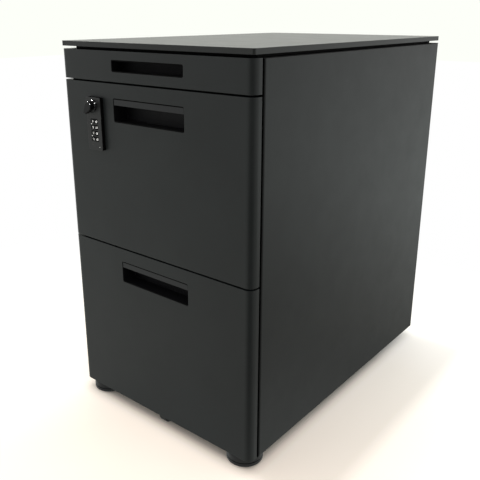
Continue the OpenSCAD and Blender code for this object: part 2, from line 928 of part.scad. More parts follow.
module lock_housing() {
    edge_r = 2.5;
    pin_z0 = case_z0 + case_wall;
    pin_z1 = case_z1 - case_wall;
    slot_h = dial_t / 2 + dial_side_play;
    color(plastic_black) {
        difference() {
            union() {
                along_y(lock_face_y, front_y)
                    rounded_rect([lock_x - lock_w / 2, lock_z0], [lock_x + lock_w / 2, lock_z1], edge_r);
                block([case_x0, front_y - cut_over, case_z0], [case_x1, case_back, case_z1]);
                rod_y(front_y - cut_over, sleeve_back, lock_x, knob_z, sleeve_r);
            }
            rod_y(lock_face_y - cut_over, sleeve_back + cut_over, lock_x, knob_z, spindle_r + shaft_play);
            rod_z(pin_z0, pin_z1, lock_x, dial_axis_y, dial_pin_r);
            for (i = [0 : dial_count - 1]) {
                z = dial_top_z - i * dial_pitch;
                rod_z(z - slot_h, z + slot_h, lock_x, dial_axis_y, dial_r + dial_play);
            }
        }
        rod_z(pin_z0, pin_z1, lock_x, dial_axis_y, dial_pin_r - press_play);
    }
}

// Dial number i from the top, with a groove between each digit and the next
module lock_dial(i) {
    z = dial_top_z - i * dial_pitch;
    groove_r = 0.8;
    groove_out = 0.2;
    color(plastic_black) difference() {
        rod_z(z - dial_t / 2, z + dial_t / 2, lock_x, dial_axis_y, dial_r);
        rod_z(z - dial_t, z + dial_t, lock_x, dial_axis_y, dial_pin_r + shaft_play);
        for (a = [0 : 360 / digits : 359])
            translate([lock_x, dial_axis_y, z - dial_t]) rotate([0, 0, a - 90])
                translate([dial_r + groove_out, 0, 0]) cylinder(h = 2 * dial_t, r = groove_r);
    }
}

module lock_dial_1() {
    lock_dial(0);
}

module lock_dial_2() {
    lock_dial(1);
}

module lock_dial_3() {
    lock_dial(2);
}

module lock_dial_4() {
    lock_dial(3);
}

// Lever, collar, spindle, and the cam with its off-centre pin at the back
module lock_knob() {
    collar_r = 9;
    collar_t = 2.5;
    head_r = 7.2;     // of the lever's round end on the axis
    tip_r = 3.2;
    chamfer = 0.8;    // round the fronts of the collar and the lever
    cam_rim = 1;
    pin_over = 0.6;
    pin_reach = cam_throw * cos(45);
    collar_y = lock_face_y - face_gap;
    color(plastic_black) {
        stud_y(collar_y - collar_t, collar_y, lock_x, knob_z, collar_r, chamfer);
        translate([lock_x, 0, knob_z]) rotate([0, -lever_angle, 0]) hull() {
            stud_y(lock_face_y - lever_t, collar_y - collar_t, 0, 0, head_r, chamfer);
            stud_y(lock_face_y - lever_t, collar_y - collar_t, tip_r - lever_l, 0, tip_r, chamfer);
        }
    }
    color(zinc) {
        rod_y(lock_face_y - lever_t / 2, cam_y + cam_t, lock_x, knob_z, spindle_r);
        rod_y(cam_y, cam_y + cam_t, lock_x, knob_z, cam_throw + cam_pin_r + cam_rim);
        rod_y(cam_y, bolt_y + bolt_t + pin_over, lock_x + pin_reach, knob_z - pin_reach, cam_pin_r);
    }
}

// Bolt that the cam pin lifts, with a finger that lifts the lock bar's arm
module lock_bolt() {
    slot_play = 0.34;
    foot = 8;
    slot_z = knob_z - cam_throw * sin(45);
    slot_r = cam_pin_r + slot_play;
    slot_x0 = lock_x + cam_throw * cos(45) - slot_r - slot_play;
    slot_x1 = lock_x + cam_throw + slot_r + slot_play;
    finger_h = 4;
    color(zinc) difference() {
        union() {
            block([lock_x - bolt_half_w, bolt_y, slot_z - foot],
                [lock_x + bolt_half_w, bolt_y + bolt_t, bolt_top_z]);
            block([lock_x - bolt_half_w, bolt_y, bolt_top_z - finger_h],
                [lock_x + bolt_half_w, bar_y + tab_t, bolt_top_z]);
        }
        along_y(bolt_y - cut_over, bolt_y + bolt_t + cut_over)
            rounded_rect([slot_x0, slot_z - slot_r], [slot_x1, slot_z + slot_r], slot_r - slot_play);
    }
}

// Guides beside the bolt on the middle box's front wall
module bolt_guides() {
    guide_t = 2;
    half_w = bolt_half_w + bolt_side_play;
    z0 = knob_z + spindle_r;
    y0 = front_back_y + box_t / 2;
    for (x = [lock_x - half_w - guide_t, lock_x + half_w])
        block([x, y0, z0], [x + guide_t, bolt_y + bolt_t, mid_z1 - box_drop]);
}

// Upright bar with a tab for each drawer, and the arm that the bolt's finger lifts
module lock_bar() {
    arm_z0 = bolt_top_z + arm_gap;
    color(zinc) {
        block([bar_x, bar_y, bot_strike_z - strike_r - tab_gap - tab_h],
            [bar_x + bar_t, bar_y + bar_w, top_strike_z - strike_r - tab_gap]);
        for (z = [bot_strike_z, mid_strike_z, top_strike_z]) {
            tab_z1 = z - strike_r - tab_gap;
            block([bar_x, bar_y, tab_z1 - tab_h], [-tab_reach, bar_y + tab_t, tab_z1]);
        }
        block([bar_x, bar_y, arm_z0], [lock_x + bolt_half_w, bar_y + tab_t, arm_z0 + arm_h]);
    }
}

// ---------- Castors ----------

plate_screw_points = [
    for (sx = [-1, 1], y = [front_caster_y, rear_caster_y], dx = [-plate_hole, plate_hole],
        dy = [-plate_hole, plate_hole]) [sx * caster_x + dx, y + dy]
];

module caster_plates() {
    half = plate_w / 2;
    plate_r = 4;
    color(zinc) for (sx = [-1, 1], y = [front_caster_y, rear_caster_y]) difference() {
        translate([sx * caster_x, y, plate_z]) linear_extrude(plate_t)
            rounded_rect([-half, -half], [half, half], plate_r);
        rod_z(plate_z - cut_over, base_z + cut_over, sx * caster_x, y, stem_r + shaft_play);
        for (p = plate_screw_points)
            rod_z(plate_z - cut_over, base_z + cut_over, p.x, p.y, screw_hole_r);
    }
}

module carcass_screws() {
    shank_l = 8;
    shank_over = 0.8;
    y = side_back_y + sheet_t;
    color(zinc) {
        for (p = plate_screw_points) {
            rod_z(plate_z - screw_head_h, plate_z, p.x, p.y, screw_head_r);
            rod_z(plate_z - screw_head_h, base_z + base_t + shank_over, p.x, p.y, screw_r);
        }
        for (x = [-back_screw_x, back_screw_x], z = back_screw_zs) {
            rod_y(y, y + screw_head_h, x, z, screw_head_r);
            rod_y(y - shank_l, y + screw_head_h, x, z, screw_r);
        }
    }
}

// Fork of a castor: stem, boss, web, hood over the wheels, and the pressed-in axle
module caster_fork(x, y) {
    hood_r = wheel_r + hood_gap + hood_t;
    hood_x = wheel_x + wheel_t + 0.6;
    hood_z = wheel_r + 6;     // the hood's lower edge
    web_z = wheel_r - 5;      // the web's lower edge
    axle_in = 1;              // from a wheel's outer face in to the axle's end
    stem_seat = 4;            // how deep the stem sits in the boss
    color(plastic_black) translate([x, y, 0]) {
        rod_z(2 * wheel_r + hood_gap, plate_z - fork_gap, 0, 0, boss_r);
        difference() {
            rod_x(-hood_x, hood_x, trail, wheel_r, hood_r);
            rod_x(-hood_x - cut_over, hood_x + cut_over, trail, wheel_r, wheel_r + hood_gap);
            block([-hood_x - cut_over, -boss_r - hood_r, -hood_r],
                [hood_x + cut_over, trail + hood_r + cut_over, hood_z]);
        }
        intersection() {
            rod_x(-web_t / 2, web_t / 2, trail, wheel_r, hood_r);
            block([-web_t, trail - hood_r, web_z], [web_t, trail + hood_r, plate_z]);
        }
    }
    color(zinc) translate([x, y, 0]) {
        rod_x(-wheel_x - wheel_t + axle_in, wheel_x + wheel_t - axle_in, trail, wheel_r, axle_r);
        rod_z(plate_z - stem_seat, stem_top_z, 0, 0, stem_r);
    }
}

// The two wheels of a castor, with rounded treads and dished outer faces
module caster_wheels(x, y) {
    tread_r = 2;
    rim_w = 5;
    hub_w = 3;
    dish_t = 1;
    color(tyre_black) translate([x, y + trail, wheel_r]) both_sides() translate([wheel_x, 0, 0])
        rotate([0, 90, 0]) difference() {
            rotate_extrude() difference() {
                union() {
                    translate([0, 0]) square([wheel_r - tread_r, wheel_t]);
                    translate([0, tread_r]) square([wheel_r, wheel_t - 2 * tread_r]);
                    for (z = [tread_r, wheel_t - tread_r])
                        translate([wheel_r - tread_r, z]) circle(tread_r);
                }
                square([axle_r + shaft_play, wheel_t]);
            }
            difference() {
                translate([0, 0, wheel_t - dish_t]) cylinder(h = 2 * dish_t, r = wheel_r - rim_w);
                translate([0, 0, wheel_t - 2 * dish_t]) cylinder(h = 3 * dish_t, r = axle_r + hub_w);
            }
        }
}

module front_left_caster_fork() {
    caster_fork(-caster_x, front_caster_y);
}

module front_right_caster_fork() {
    caster_fork(caster_x, front_caster_y);
}

module rear_left_caster_fork() {
    caster_fork(-caster_x, rear_caster_y);
}

module rear_right_caster_fork() {
    caster_fork(caster_x, rear_caster_y);
}

module front_left_caster_wheels() {
    caster_wheels(-caster_x, front_caster_y);
}

module front_right_caster_wheels() {
    caster_wheels(caster_x, front_caster_y);
}

module rear_left_caster_wheels() {
    caster_wheels(-caster_x, rear_caster_y);
}

module rear_right_caster_wheels() {
    caster_wheels(caster_x, rear_caster_y);
}

// ---------- Floor glides ----------

module glide_sockets() {
    flange_w = 32;
    flange_t = 2;
    color(zinc) for (x = [-glide_x, glide_x]) difference() {
        union() {
            rod_z(base_z - socket_h, base_z, x, glide_y, socket_r);
            block([x - flange_w / 2, glide_y - socket_r, base_z - flange_t],
                [x + flange_w / 2, glide_y + flange_w / 2, base_z]);
        }
        rod_z(base_z - socket_h - cut_over, base_z + cut_over, x, glide_y, glide_spindle_r + shaft_play);
    }
}

module glide_spindle(x) {
    color(zinc) rod_z(hub_z, spindle_top_z, x, glide_y, glide_spindle_r);
}

// Ribbed hand-turned disc: a foot ring below, a waist, and a grip ring above
module glide_disc(x) {
    foot_h = 6;
    waist_h = 1.6;
    waist_in = 1.8;
    round_r = 1.5;
    floor_t = 5;
    wall = 6;         // of the hub and of the rim, round the ring-shaped hollow
    z0 = glide_lift;
    z1 = glide_top_z;
    grip_z = z0 + foot_h + waist_h;
    hub_r = glide_spindle_r + wall;
    color(plastic_black) translate([x, glide_y, 0]) difference() {
        rotate_extrude() difference() {
            union() {
                translate([0, z0]) square([glide_r - round_r, foot_h]);
                translate([0, z0 + round_r]) square([glide_r, foot_h - round_r]);
                translate([glide_r - round_r, z0 + round_r]) circle(round_r);
                translate([0, z0]) square([glide_r - waist_in, z1 - z0]);
                translate([0, grip_z]) square([glide_r, z1 - grip_z - round_r]);
                translate([0, grip_z]) square([glide_r - round_r, z1 - grip_z]);
                translate([glide_r - round_r, z1 - round_r]) circle(round_r);
            }
            translate([hub_r, z0 + floor_t]) square([glide_r - wall - hub_r, z1]);
            translate([0, hub_z]) square([glide_spindle_r + shaft_play, z1]);
        }
    }
}

module left_glide_spindle() {
    glide_spindle(-glide_x);
}

module right_glide_spindle() {
    glide_spindle(glide_x);
}

module left_glide_disc() {
    glide_disc(-glide_x);
}

module right_glide_disc() {
    glide_disc(glide_x);
}

// ---------- Anti-tip wheel ----------

// Room for the wheel in the bottom front's lower edge and liner
module tip_wheel_cut() {
    block([-tip_slot_x, front_y + tip_face_t, bot_z0 - cut_over],
        [tip_slot_x, front_back_y + cut_over, tip_slot_z]);
}

module anti_tip_fork() {
    plate_x = tip_slot_x + 4;
    liner_gap = 0.4;
    cheek_drop = 5;           // from the axle down to the cheeks' lower edges
    cheek_back = 11;
    box_gap = 1;
    out_x = cheek_x + cheek_t;
    y0 = front_back_y + liner_gap;
    y1 = tip_y + cheek_back;
    color(zinc) {
        both_sides() block([cheek_x, y0, tip_z - cheek_drop], [out_x, y1, bridge_z + cheek_t]);
        block([-out_x, y0, bridge_z], [out_x, y1, bridge_z + cheek_t]);
        block([-plate_x, front_back_y, bridge_z], [plate_x, front_back_y + cheek_t, bot_box_z0 - box_gap]);
        rod_x(-out_x - cheek_gap, out_x + cheek_gap, tip_y, tip_z, axle_r);
    }
}

module anti_tip_wheel() {
    tread_r = 2;
    half = tip_wheel_w / 2;
    color(tyre_black) translate([0, tip_y, tip_z]) rotate([0, 90, 0]) rotate_extrude() difference() {
        union() {
            translate([0, -half]) square([tip_wheel_r - tread_r, tip_wheel_w]);
            translate([0, -half + tread_r]) square([tip_wheel_r, tip_wheel_w - 2 * tread_r]);
            for (z = [-half + tread_r, half - tread_r])
                translate([tip_wheel_r - tread_r, z]) circle(tread_r);
        }
        translate([0, -half]) square([axle_r + shaft_play, tip_wheel_w]);
    }
}

// ---------- What is drawn ----------

left_side_panel();
right_side_panel();
back_panel();
base_pan();
top_deck();
top_plate();
upper_cross_rail();
lower_cross_rail();
outer_slides();
caster_plates();
glide_sockets();
carcass_screws();
lock_bar();
top_front();
top_front_liner();
top_handle_cup();
top_box();
pen_tray();
top_inner_slides();
middle_front();
middle_front_liner();
middle_handle_cup();
middle_box();
middle_inner_slides();
middle_mid_slides();
middle_divider();
middle_latch_paddle();
middle_latch_shaft();
middle_latch_spring();
lock_housing();
lock_knob();
lock_bolt();
lock_dial_1();
lock_dial_2();
lock_dial_3();
lock_dial_4();
bottom_front();
bottom_front_liner();
bottom_handle_cup();
bottom_box();
bottom_inner_slides();
bottom_mid_slides();
file_rails();
bottom_latch_paddle();
bottom_latch_shaft();
bottom_latch_spring();
anti_tip_fork();
anti_tip_wheel();
front_left_caster_fork();
front_right_caster_fork();
rear_left_caster_fork();
rear_right_caster_fork();
front_left_caster_wheels();
front_right_caster_wheels();
rear_left_caster_wheels();
rear_right_caster_wheels();
left_glide_spindle();
right_glide_spindle();
left_glide_disc();
right_glide_disc();
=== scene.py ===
"""Looks of the rolling pedestal cabinet: finishes, lock markings, recess rims, screws, floor and light."""

import json
import math

import bmesh
import bpy
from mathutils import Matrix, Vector


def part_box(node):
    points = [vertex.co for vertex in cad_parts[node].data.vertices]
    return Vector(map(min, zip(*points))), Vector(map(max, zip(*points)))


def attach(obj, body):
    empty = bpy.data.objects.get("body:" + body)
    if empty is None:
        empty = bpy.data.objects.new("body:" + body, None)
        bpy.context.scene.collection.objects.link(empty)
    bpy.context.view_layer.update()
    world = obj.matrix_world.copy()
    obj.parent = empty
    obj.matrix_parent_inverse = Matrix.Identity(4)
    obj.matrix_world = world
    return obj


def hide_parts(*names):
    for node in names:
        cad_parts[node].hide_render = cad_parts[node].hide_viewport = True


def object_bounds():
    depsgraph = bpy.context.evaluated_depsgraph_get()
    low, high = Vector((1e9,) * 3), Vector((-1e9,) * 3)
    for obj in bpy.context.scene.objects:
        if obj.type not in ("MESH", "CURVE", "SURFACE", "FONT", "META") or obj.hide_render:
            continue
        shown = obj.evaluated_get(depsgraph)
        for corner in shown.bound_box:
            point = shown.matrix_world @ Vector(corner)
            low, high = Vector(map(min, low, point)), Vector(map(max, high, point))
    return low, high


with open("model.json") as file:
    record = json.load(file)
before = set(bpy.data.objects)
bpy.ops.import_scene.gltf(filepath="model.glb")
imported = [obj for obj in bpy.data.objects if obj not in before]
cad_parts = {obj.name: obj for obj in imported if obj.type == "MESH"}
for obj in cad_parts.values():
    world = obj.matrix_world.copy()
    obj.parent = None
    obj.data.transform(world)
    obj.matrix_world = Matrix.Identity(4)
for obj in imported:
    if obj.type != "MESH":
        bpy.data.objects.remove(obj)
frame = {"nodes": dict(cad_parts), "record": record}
nodes = frame["nodes"]
cad_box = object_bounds()
MM = 0.001
DIALS = range(1, 5)
PRINT_LIFT = 0.03 * MM    # of a printed mark off what it is printed on


# ---------- Shader nodes ----------

def new_material(name):
    """A new material, with its node tree and its Principled shader."""
    material = bpy.data.materials.new(name)
    material.use_nodes = True
    tree = material.node_tree
    return material, tree, tree.nodes["Principled BSDF"]


def feed(tree, socket, value):
    """Link a socket to another one, or set its constant."""
    if isinstance(value, bpy.types.NodeSocket):
        tree.links.new(value, socket)
    else:
        socket.default_value = value


def add(tree, kind, **values):
    """A new node. Keys that name an input feed it, and the others set an attribute."""
    node = tree.nodes.new(kind)
    for key, value in values.items():
        if key in node.inputs:
            feed(tree, node.inputs[key], value)
        else:
            setattr(node, key, value)
    return node


def combine(tree, operation, a, b):
    """The result of a Math node on a and b. Each is a socket or a number."""
    node = add(tree, "ShaderNodeMath", operation=operation)
    feed(tree, node.inputs[0], a)
    feed(tree, node.inputs[1], b)
    return node.outputs[0]


def vector_node(tree, operation, a, b=None):
    """A Vector Math node on a and b. Each is a socket or a vector."""
    node = add(tree, "ShaderNodeVectorMath", operation=operation)
    feed(tree, node.inputs[0], a)
    if b is not None:
        feed(tree, node.inputs[1], b)
    return node


def object_place(tree):
    """The shaded point in object space."""
    return add(tree, "ShaderNodeTexCoord").outputs["Object"]


def object_noise(tree, scale, detail=2.0, roughness=0.5):
    """Noise over object space, so that it keeps one size on every piece."""
    noise = add(tree, "ShaderNodeTexNoise", Vector=object_place(tree), Scale=scale, Detail=detail,
                Roughness=roughness)
    return noise.outputs["Fac"]


def remap(tree, value, low, high, to_low, to_high):
    """value rescaled and clamped from low..high to to_low..to_high."""
    node = add(tree, "ShaderNodeMapRange")
    names = ("Value", "From Min", "From Max", "To Min", "To Max")
    for name, number in zip(names, (value, low, high, to_low, to_high)):
        feed(tree, node.inputs[name], number)
    return node.outputs["Result"]


def mix_values(tree, factor, a, b):
    """Value a at factor 0 and b at factor 1. Each is a socket or a number."""
    node = add(tree, "ShaderNodeMix", data_type="FLOAT")
    for index, value in ((0, factor), (2, a), (3, b)):
        feed(tree, node.inputs[index], value)
    return node.outputs[0]


def mix_colours(tree, factor, a, b):
    """Colour a at factor 0 and b at factor 1. Each is a socket or an RGB tuple."""
    node = add(tree, "ShaderNodeMix", data_type="RGBA")
    feed(tree, node.inputs[0], factor)
    for index, colour in ((6, a), (7, b)):
        feed(tree, node.inputs[index], (*colour, 1) if isinstance(colour, tuple) else colour)
    return node.outputs[2]


def mix_shaders(tree, factor, a, b):
    """Shader a at factor 0 and b at factor 1. The factor is a socket or a number."""
    node = add(tree, "ShaderNodeMixShader")
    for index, value in enumerate((factor, a, b)):
        feed(tree, node.inputs[index], value)
    return node.outputs[0]


# ---------- Finishes ----------

def edge_mask(tree, radius):
    """1 on an edge sharper than radius, 0 on a flat, and the normal of the edge rounded to radius."""
    flat, sharp = 0.98, 0.80      # how well the rounded normal agrees with the face's
    rounded = add(tree, "ShaderNodeBevel", samples=6, Radius=radius).outputs["Normal"]
    face = add(tree, "ShaderNodeNewGeometry").outputs["Normal"]
    agreement = vector_node(tree, "DOT_PRODUCT", rounded, face).outputs["Value"]
    return remap(tree, agreement, flat, sharp, 0, 1), rounded


def surface(name, base, rough, grain_scale, grain_height, edge=0.9 * MM, wear_and_highlight=None, metallic=0.0,
            variation=0.12, specular=0.5, peel_height=0.0, rough_spread=0.05):
    """A finish with clouded colour, uneven gloss, moulded or sprayed grain, and lighter edges: worn, and on
    the lock and its lever a painted highlight.
    """
    cloud_scale, edge_patch_scale, smudge_scale, peel_scale = 9, 90, 26, 330    # of noise, per metre
    speckle_scale = 0.6 * grain_scale
    material, tree, shader = new_material(name)
    clouds = remap(tree, object_noise(tree, cloud_scale, 4, 0.6), 0.3, 0.7, 0, 1)
    darker = tuple(c * (1 - variation) for c in base)
    lighter = tuple(c * (1 + variation) for c in base)
    speck = tuple(c * 1.7 + 0.004 for c in base)
    colour = mix_colours(tree, clouds, darker, lighter)
    speckle = remap(tree, object_noise(tree, speckle_scale, 1, 0.5), 0.55, 0.8, 0, 0.35)
    colour = mix_colours(tree, speckle, colour, speck)
    wear_and_highlight_edges, normal = edge_mask(tree, edge)
    # The edge colour is wear, and on the lock housing and lever a painted highlight.
    if wear_and_highlight:
        edge_patches = remap(tree, object_noise(tree, edge_patch_scale, 5, 0.7), 0.48, 0.68, 0, 0.75)
        colour = mix_colours(tree, combine(tree, "MULTIPLY", wear_and_highlight_edges, edge_patches), colour, wear_and_highlight)
    for scale, detail, softness, height in ((grain_scale, 2, 0.5, grain_height),
                                            (peel_scale, 1, 0.4, peel_height)):
        if height:
            bump = add(tree, "ShaderNodeBump", Strength=1.0, Distance=height, Normal=normal,
                       Height=object_noise(tree, scale, detail, softness))
            normal = bump.outputs["Normal"]
    smudges = object_noise(tree, smudge_scale, 5, 0.65)
    gloss = remap(tree, smudges, 0.3, 0.7, rough - rough_spread, rough + rough_spread)
    feed(tree, shader.inputs["Base Color"], colour)
    feed(tree, shader.inputs["Roughness"], gloss)
    feed(tree, shader.inputs["Normal"], normal)
    feed(tree, shader.inputs["Metallic"], metallic)
    feed(tree, shader.inputs["Specular IOR Level"], specular)
    return material


def darken_front_fold(material, front, solid, fade):
    """Painted shade over the side panels' front fold: matt black, full to front + solid, and gone at front
    + fade.
    """
    black = (0.001, 0.001, 0.001)
    tree = material.node_tree
    shader = tree.nodes["Principled BSDF"]
    axes = add(tree, "ShaderNodeSeparateXYZ", Vector=object_place(tree))
    dark = remap(tree, axes.outputs["Y"], front + solid, front + fade, 1, 0)
    colour, rough = (shader.inputs[name] for name in ("Base Color", "Roughness"))
    feed(tree, colour, mix_colours(tree, dark, colour.links[0].from_socket, black))
    feed(tree, rough, mix_values(tree, dark, rough.links[0].from_socket, 1.0))
    # As a metal, the painted shade mirrors next to nothing.
    feed(tree, shader.inputs["Metallic"], dark)


black_coat = (0.0095, 0.0115, 0.0116)
coat_wear = (0.045, 0.048, 0.049)
plastic_wear = (0.05, 0.05, 0.05)

paint = surface("powder_coat", black_coat, 0.42, 1500, 0.03 * MM, edge=1.0 * MM, wear_and_highlight=coat_wear,
                peel_height=0.006 * MM, specular=0.25, rough_spread=0.025)
panel_paint = surface("powder_coat_rolled_edge_painted_shade", black_coat, 0.42, 1500, 0.03 * MM, edge=3.0 * MM,
                      peel_height=0.006 * MM, specular=0.22, rough_spread=0.025)
# The side panels carry painted shade at their front fold, where the seam to the fronts lies in shadow.
darken_front_fold(panel_paint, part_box("right_side_panel")[0][1], 0.5 * MM, 6.5 * MM)
top_paint = surface("powder_coat_top", (0.0100, 0.0113, 0.0108), 0.38, 1500, 0.025 * MM,
                    edge=1.0 * MM, wear_and_highlight=coat_wear, peel_height=0.005 * MM, specular=0.27,
                    rough_spread=0.015)
inner_paint = surface("inner_powder_coat", (0.020, 0.021, 0.022), 0.45, 1300, 0.03 * MM,
                      edge=0.6 * MM, wear_and_highlight=(0.09, 0.09, 0.09), specular=0.3)
paddle_paint = surface("paddle_paint", (0.0100, 0.0108, 0.0118), 0.36, 1400, 0.02 * MM,
                       edge=0.6 * MM, wear_and_highlight=plastic_wear, specular=0.26)
cup_plastic = surface("cup_plastic", (0.0035, 0.0035, 0.0042), 0.55, 1100, 0.04 * MM,
                      edge=0.8 * MM, wear_and_highlight=plastic_wear, specular=0.16)
slim_cup_plastic = surface("slim_cup_plastic", (0.0028, 0.0028, 0.0034), 0.55, 1100, 0.04 * MM,
                           edge=0.8 * MM, wear_and_highlight=plastic_wear, specular=0.08)
# The lock's light edge colour is a painted highlight along the housing's edges.
lock_plastic = surface("lock_plastic", (0.0125, 0.0130, 0.0135), 0.36, 1200, 0.015 * MM,
                       edge=1.0 * MM, wear_and_highlight=(0.14, 0.14, 0.14), specular=0.25)
# The lever's light edge colour is a painted highlight: a lighter outline round its edges.
lever_plastic = surface("lever_plastic", (0.0016, 0.0016, 0.0018), 0.18, 1200, 0.003 * MM,
                        edge=0.9 * MM, wear_and_highlight=(0.22, 0.22, 0.22), specular=0.15)
dial_plastic = surface("dial_plastic", (0.0025, 0.0025, 0.0028), 0.34, 1200, 0.008 * MM,
                       edge=0.3 * MM, wear_and_highlight=(0.02, 0.02, 0.02), specular=0.2)
nylon = surface("nylon", (0.0055, 0.0055, 0.0062), 0.40, 900, 0.03 * MM, edge=0.7 * MM,
                wear_and_highlight=(0.04, 0.04, 0.04), specular=0.3)
rubber = surface("wheel_rubber", (0.012, 0.012, 0.012), 0.62, 700, 0.05 * MM, edge=0.6 * MM,
                 wear_and_highlight=(0.05, 0.048, 0.045), specular=0.3)
zinc = surface("zinc_steel", (0.44, 0.45, 0.47), 0.30, 800, 0.01 * MM, edge=0.4 * MM, metallic=1.0,
               variation=0.08, wear_and_highlight=(0.62, 0.62, 0.63), rough_spread=0.1)
marking = surface("marking_white", (0.92, 0.92, 0.90), 0.45, 1500, 0.005 * MM, edge=0.05 * MM,
                  variation=0.04)
faint_marking = surface("marking_grey", (0.07, 0.07, 0.07), 0.45, 1500, 0.005 * MM,
                        edge=0.05 * MM, variation=0.05)
# Flat black as painted shade: in the reset hole, round the dial windows and on the lock's sides; in the
# recess rims it is also the cups' real black lip.
painted_shade_black = surface("painted_shade_black", (0.0015, 0.0015, 0.0015), 0.7, 900, 0.02 * MM, edge=0.2 * MM,
                     specular=0.05)
# Matt black on the top deck, which shows only in the gap under the top plate: painted shade of that gap.
deck_shade_black = surface("deck_painted_shade", (0.0025, 0.0025, 0.0027), 0.65, 900, 0.03 * MM,
                     edge=0.3 * MM, specular=0.08)

FINISHES = {"body_paint": paint, "top_paint": top_paint, "inner_paint": inner_paint,
            "cup_plastic": cup_plastic, "paddle_paint": paddle_paint, "lock_black": lock_plastic,
            "zinc_steel": zinc, "caster_nylon": nylon, "wheel_rubber": rubber}
OWN_FINISHES = {"lock_knob": lever_plastic, "top_handle_cup": slim_cup_plastic, "top_deck": deck_shade_black,
                "left_side_panel": panel_paint, "right_side_panel": panel_paint,
                **{f"lock_dial_{number}": dial_plastic for number in DIALS}}
for part in frame["record"]["subparts"]:
    mesh = nodes[part["node"]].data
    mesh.materials.clear()
    mesh.materials.append(OWN_FINISHES.get(part["node"], FINISHES[part["material_slot"]]))


# ---------- Shared shapes ----------

def make_piece(name, mesh, body, material):
    """A new piece that rides on a body."""
    mesh.materials.append(material)
    piece = bpy.data.objects.new(name, mesh)
    bpy.context.scene.collection.objects.link(piece)
    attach(piece, body)
    return piece


def box_centre(box):
    """The middle of a box that is given by two corners."""
    return [(a + b) / 2 for a, b in zip(*box)]


def polygon_angles(sides):
    """The angles of the corners of a regular polygon."""
    return [2 * math.pi * side / sides for side in range(sides)]


def rounded_outline(low, high, radius, steps=5):
    """Points (x, z) round a rectangle with rounded corners."""
    points = []
    corners = ((high[0], high[1], 0), (low[0], high[1], 1), (low[0], low[1], 2), (high[0], low[1], 3))
    for x, z, quarter in corners:
        centre_x = x - radius if quarter in (0, 3) else x + radius
        centre_z = z - radius if quarter in (0, 1) else z + radius
        for i in range(steps + 1):
            angle = (quarter + i / steps) * math.pi / 2
            points.append((centre_x + radius * math.cos(angle), centre_z + radius * math.sin(angle)))
    return points


def frame_mesh(name, outer, inner, front, back):
    """A closed band between two outlines of (x, z) points, from y front to y back."""
    count = len(outer)
    points = [(x, y, z) for outline in (outer, inner) for y in (front, back) for x, z in outline]
    rings = [range(first, first + count) for first in range(0, 4 * count, count)]
    outer_front, outer_back, inner_front, inner_back = rings
    faces = []
    for i in range(count):
        k = (i + 1) % count
        for a, b in ((outer_front, inner_front), (inner_front, inner_back),
                     (inner_back, outer_back), (outer_back, outer_front)):
            faces.append((a[i], a[k], b[k], b[i]))
    mesh = bpy.data.meshes.new(name)
    mesh.from_pydata(points, [], faces)
    return mesh


def disc_mesh(name, at, radius, hole=0.0, sides=24):
    """A flat disc or ring in the plane of the lock's face."""
    form = bmesh.new()

    def ring(reach):
        return [form.verts.new((at[0] + reach * math.cos(a), at[1], at[2] + reach * math.sin(a)))
                for a in polygon_angles(sides)]

    outer = ring(radius)
    if hole:
        inner = ring(hole)
        for i in range(sides):
            k = (i + 1) % sides
            form.faces.new((outer[i], outer[k], inner[k], inner[i]))
    else:
        form.faces.new(outer)
    mesh = bpy.data.meshes.new(name)
    form.to_mesh(mesh)
    form.free()
    return mesh


# ---------- Lock ----------

def digit_outline(digit, height):
    """The filled outline of one digit, as vertices round its centre and faces."""
    cap_share = 0.72      # of the typeface's size that a digit is high
    swell = 0.035         # of its height that a digit's outline is drawn bolder
    text = bpy.data.curves.new("digit", "FONT")
    text.body = str(digit)
    text.size = height / cap_share
    text.resolution_u = 3
    text.offset = swell * height
    holder = bpy.data.objects.new("digit", text)
    mesh = holder.to_mesh()
    points = [v.co.copy() for v in mesh.vertices]
    faces = [tuple(f.vertices) for f in mesh.polygons]
    holder.to_mesh_clear()
    bpy.data.objects.remove(holder)
    bpy.data.curves.remove(text)
    middle = [(min(p[i] for p in points) + max(p[i] for p in points)) / 2 for i in (0, 1)]
    return [(p.x - middle[0], p.y - middle[1]) for p in points], faces


def build_dial_digits():
    """Ten digits round each dial of the lock, printed on its rim."""
    count = 10
    height_share = 0.70   # of a dial's height that a digit takes
    rest_turn = 0.82      # of one digit's turn that a dial stands off its zero
    pieces = []
    for number in DIALS:
        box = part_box(f"lock_dial_{number}")
        cx, cy, cz = box_centre(box)
        radius = (box[1][1] - box[0][1]) / 2 + PRINT_LIFT
        height = height_share * (box[1][2] - box[0][2])
        points, faces = [], []
        for digit in range(count):
            outline, cells = digit_outline(digit, height)
            turn = (digit + rest_turn) * 2 * math.pi / count
            first = len(points)
            for x, z in outline:
                angle = turn + x / radius
                points.append((cx + radius * math.sin(angle), cy - radius * math.cos(angle), cz + z))
            faces += [tuple(first + i for i in cell) for cell in cells]
        mesh = bpy.data.meshes.new(f"dial_{number}_digits")
        mesh.from_pydata(points, [], faces)
        pieces.append(make_piece(mesh.name, mesh, f"lock_dial_{number}", marking))
    return pieces


